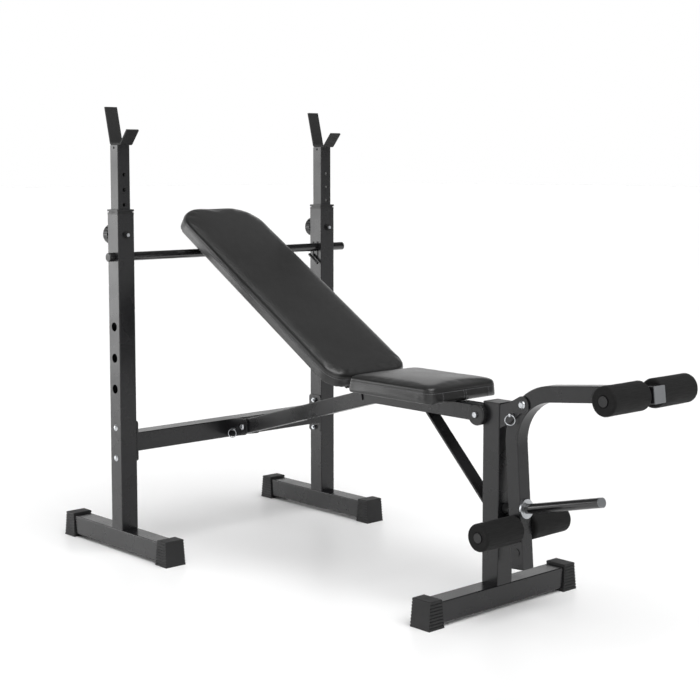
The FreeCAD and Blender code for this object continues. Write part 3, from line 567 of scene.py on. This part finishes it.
# %% Seat cushion
low, high = (Vector(c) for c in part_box("seat_pad"))
seat_middle = (low + high) / 2
seat_size = high - low
SEAT_RADII = (0.012, 0.026)
SEAT_SEAM_DROP, STITCH_DROP = 0.011, 0.0045
seat = cushion("seat_cushion", seat_size, SEAT_RADII, 0.009, 0.006, SEAT_SEAM_DROP)
seat_extras = dressed(seat, seat_size, SEAT_RADII, seat_size.z - SEAT_SEAM_DROP, STITCH_DROP)
print("seat cushion:", [round(c * 1000) for c in seat_size], "mm")

# %% [markdown]
# The block for the backrest leans, so its box says little. The board under it has one very large
# face, and the normal of that face is the cushion's own upright direction. With that direction
# the block's length, width and thickness are measured along its own axes.


# %% Find a leaning block
def own_axes(node, board):
    """Matrix and size of a leaning block: X along it, Y across, Z from the board outwards."""
    widest = max(frame["nodes"][board].data.polygons, key=lambda f: f.area)
    up = widest.normal.copy()
    up = up if up.z > 0 else -up
    across = Vector((0, 1, 0))
    ahead = across.cross(up).normalized()
    axes = Matrix((ahead, across, up)).transposed()
    inside = [axes.transposed() @ v.co for v in frame["nodes"][node].data.vertices]
    low = Vector([min(p[i] for p in inside) for i in range(3)])
    high = Vector([max(p[i] for p in inside) for i in range(3)])
    middle = axes @ Vector(((low.x + high.x) / 2, (low.y + high.y) / 2, low.z))
    return Matrix.Translation(middle) @ axes.to_4x4(), high - low


back_matrix, back_size = own_axes("back_pad", "back_board")
print("backrest:", [round(c * 1000) for c in back_size], "mm, leaning",
      round(math.degrees(back_matrix.to_euler().y)), "degrees")

# %% Backrest cushion
BACK_RADII = (0.092, 0.052)
BACK_SEAM_DROP = 0.012
back = cushion("backrest_cushion", back_size, BACK_RADII, 0.010, 0.005, BACK_SEAM_DROP)
back_extras = dressed(back, back_size, BACK_RADII, back_size.z - BACK_SEAM_DROP, STITCH_DROP)

# %% [markdown]
# The seat's front band is sewn from pieces: there is a seam in its middle with stitches on both
# sides, and one near each corner. Each seam is a shallow groove, so a thin dark bead lies in it.


# %% Seams down the front of the seat
def band_seam(name, y, double):
    half_long, top = seat_size.x / 2, seat_size.z - 0.012
    path = [Vector((half_long, y, 0.003 + i * 0.0015)) for i in range(int((top - 0.003) / 0.0015))]
    ahead = [Vector((1, 0, 0))] * len(path)
    made = [cord_along(name + "_bead", surface_points(seat, path, ahead), 0.0009, -0.0001, leather,
                       False)]
    for side in ((-1, 1) if double else (1,)):
        beside = [p + Vector((0, side * 0.0042, 0)) for p in path]
        made.append(stitches(name + "_stitches_" + ("a" if side < 0 else "b"),
                             surface_points(seat, beside, ahead)))
    return made


seat_extras += band_seam("seat_middle_seam", 0.0, True)
seat_extras += band_seam("seat_right_seam", -0.084, False)
seat_extras += band_seam("seat_left_seam", 0.084, False)

# %% Put the cushions in place
seat_matrix = Matrix.Translation((seat_middle.x, seat_middle.y, low.z))
for cushion_piece, extras, matrix, body, node, fill in (
        (seat, seat_extras, seat_matrix, "bench", "seat_pad", 0.9),
        (back, back_extras, back_matrix, "backrest", "back_pad", 0.9)):
    for piece in [cushion_piece] + extras:
        piece.matrix_world = matrix
        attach(piece, body)
    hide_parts(node)

# %% [markdown]
# ## Foam rollers
# A roller is a length of extruded foam tube pushed over a bar. Its skin is not perfectly round:
# it bulges and dips by a fraction of a millimetre, its ends are cut and slightly dished, and the
# cut edge is soft. A lathe profile is turned into rings of points, and a smooth noise moves the
# rings' points in and out. A plain cylinder would look machined.


# %% Foam roller
from mathutils import noise


def roller(name, node, body):
    low, high = (Vector(c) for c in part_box(node))
    middle = (low + high) / 2
    radius, half = (high.x - low.x) / 2 - 0.0004, (high.y - low.y) / 2
    bore, soft = 0.0129, 0.006
    profile = [(bore, 0.0), (bore, half - 0.002), (bore + 0.0015, half - 0.0008)]
    profile += [(bore + (radius - soft - bore) * t, half - 0.0008 * math.sin(math.pi * t)) for t in
                (0.25, 0.5, 0.75)]
    profile += [(radius - soft + soft * math.sin(math.radians(a)),
                 half - soft + soft * math.cos(math.radians(a))) for a in (0, 20, 40, 60, 75, 90)]
    profile += [(radius, (half - soft) * t) for t in (0.92, 0.8, 0.65, 0.5, 0.35, 0.18, 0.0)]
    whole = profile + [(r, -y) for r, y in profile[-2:0:-1]]

    def make(bm):
        rings = []
        for r, y in whole:
            ring = []
            for i in range(96):
                a = 2 * math.pi * i / 96
                p = Vector((math.cos(a), 0, math.sin(a)))
                wobble = noise.noise(p * 1.6 + Vector((middle.x * 9, y * 22, middle.y * 9)))
                ripple = noise.noise(p * 9 + Vector((0, y * 60 + middle.y * 7, 0)))
                swell = (0.0005 * wobble + 0.00022 * ripple) * max(0.0, r / radius - 0.6) / 0.4
                ring.append(bm.verts.new(middle + p * (r + swell) + Vector((0, y, 0))))
            rings.append(ring)
        for one, two in zip(rings, rings[1:] + rings[:1]):
            for i in range(96):
                j = (i + 1) % 96
                bm.faces.new((one[i], one[j], two[j], two[i]))

    piece = new_piece(name, make, foam)
    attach(piece, body)
    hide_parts(node)
    return piece


for place_name, body in (("upper_roller_right", "roller_ur"), ("upper_roller_left", "roller_ul"),
                         ("lower_roller_right", "roller_lr"), ("lower_roller_left", "roller_ll")):
    made = roller("foam_" + place_name, place_name, body)
    print(made.name, len(made.data.vertices), "points")

# %% [markdown]
# ## Floor, light and camera
# The bench stands on a pale sweep between large soft lamps. The floor here is a wide plane that
# is nearly white. A wide, soft lamp from above lights the floor evenly, so that no horizon shows,
# and gives the soft shadow below the tubes. A tall softbox far to the rack's right-hand side is
# what the near faces of the tubes mirror, so they turn grey and the end faces stay dark.
# The surrounding light is a room with pale walls, a greyer ceiling, and one dark wall behind the
# leg developer's left. Black paint shows only what it mirrors, so the dark wall gives the tubes
# one dark face each and keeps their edges crisp. The eye itself sees a plain white surround.

# %% Floor
floor_material, shader, place = start_material("pale_studio_vinyl", IOR=1.45, Roughness=0.4)
cloud = add(floor_material, "ShaderNodeTexNoise", {"Scale": grain(900), "Detail": 2.0}, Vector=place)
tint = add(floor_material, "ShaderNodeMix", {"data_type": "RGBA", 6: linear("#f6f6f6"),
                                             7: linear("#fbfbfb")}, _0=cloud.outputs["Fac"])
plug(floor_material, tint.outputs[2], shader, "Base Color")


def flat_floor(bm):
    corners = [bm.verts.new((x, y, 0)) for x, y in ((-60, -60), (60, -60), (60, 60), (-60, 60))]
    bm.faces.new(corners)


floor = new_piece("studio_floor", flat_floor, floor_material)


# %% Lamps
def lamp_at(name, kind, place, aim, **settings):
    lamp = bpy.data.lights.new(name, kind)
    for setting, value in settings.items():
        setattr(lamp, setting, value)
    holder = bpy.data.objects.new(name, lamp)
    holder.location = place
    holder.rotation_euler = (Vector(aim) - Vector(place)).to_track_quat("-Z", "Y").to_euler()
    bpy.context.scene.collection.objects.link(holder)


lamp_at("overhead_light", "SUN", (2.2, -0.4, 4.0), (0, 0, 0), energy=3.3, angle=math.radians(60))
lamp_at("side_softbox", "AREA", (-4.3, -2.9, 0.9), (-0.5, -0.3, 0.6), shape="RECTANGLE", size=2.2,
        size_y=2.6, energy=64)

# %% Surrounding light
world = bpy.data.worlds.new("pale_room")
world.use_nodes = True
nodes, links = world.node_tree.nodes, world.node_tree.links


def room(kind, **settings):
    node = nodes.new(kind)
    for setting, value in settings.items():
        setattr(node, setting, value)
    return node


def ramp_of(output, *stops):
    """A grey ramp on a value from 0 to 1: each stop is a position and a brightness."""
    ramp = room("ShaderNodeValToRGB")
    while len(ramp.color_ramp.elements) < len(stops):
        ramp.color_ramp.elements.new(0.5)
    for element, (position, grey) in zip(ramp.color_ramp.elements, stops):
        element.position, element.color = position, (grey, grey, grey, 1)
    links.new(output, ramp.inputs[0])
    return ramp.outputs[0]


direction = room("ShaderNodeSeparateXYZ")
links.new(room("ShaderNodeTexCoord").outputs["Generated"], direction.inputs[0])
along = room("ShaderNodeVectorMath", operation="DOT_PRODUCT")
links.new(room("ShaderNodeTexCoord").outputs["Generated"], along.inputs[0])
along.inputs[1].default_value = (0.66, 0.75, 0.0)
part_way = room("ShaderNodeMapRange")
part_way.inputs["From Min"].default_value = -1.0
links.new(along.outputs["Value"], part_way.inputs["Value"])
walls = ramp_of(part_way.outputs[0], (0.0, 0.5), (0.3, 1.0), (0.72, 0.95), (0.86, 0.24), (1.0, 0.18))
ceiling = ramp_of(direction.outputs["Z"], (0.25, 1.0), (0.6, 0.18))
both = room("ShaderNodeMix", data_type="RGBA", blend_type="MULTIPLY")
both.inputs[0].default_value = 1.0
links.new(walls, both.inputs[6])
links.new(ceiling, both.inputs[7])
lit = room("ShaderNodeBackground")
links.new(both.outputs[2], lit.inputs["Color"])
seen = nodes["Background"]
seen.inputs["Color"].default_value = (1, 1, 1, 1)
choice = room("ShaderNodeMixShader")
links.new(room("ShaderNodeLightPath").outputs["Is Camera Ray"], choice.inputs[0])
links.new(lit.outputs[0], choice.inputs[1])
links.new(seen.outputs[0], choice.inputs[2])
links.new(choice.outputs[0], nodes["World Output"].inputs["Surface"])
bpy.context.scene.world = world
bpy.context.scene.view_settings.view_transform = "Standard"

# %% [markdown]
# The camera stands at the bench's front right corner, a little below head height, with a short
# telephoto lens so that the tubes stay nearly parallel. It looks down by about five degrees.

# %% Camera
camera_data = bpy.data.cameras.new("camera")
camera_data.lens, camera_data.sensor_width = 76.15, 36.0
camera_data.shift_y = -0.0714
camera = bpy.data.objects.new("camera", camera_data)
camera.location = (2.89495, -2.75418, 1.11319)
camera.rotation_euler = (math.radians(90 - 5.25), 0.0, math.radians(47.67))
bpy.context.scene.collection.objects.link(camera)
bpy.context.scene.camera = camera
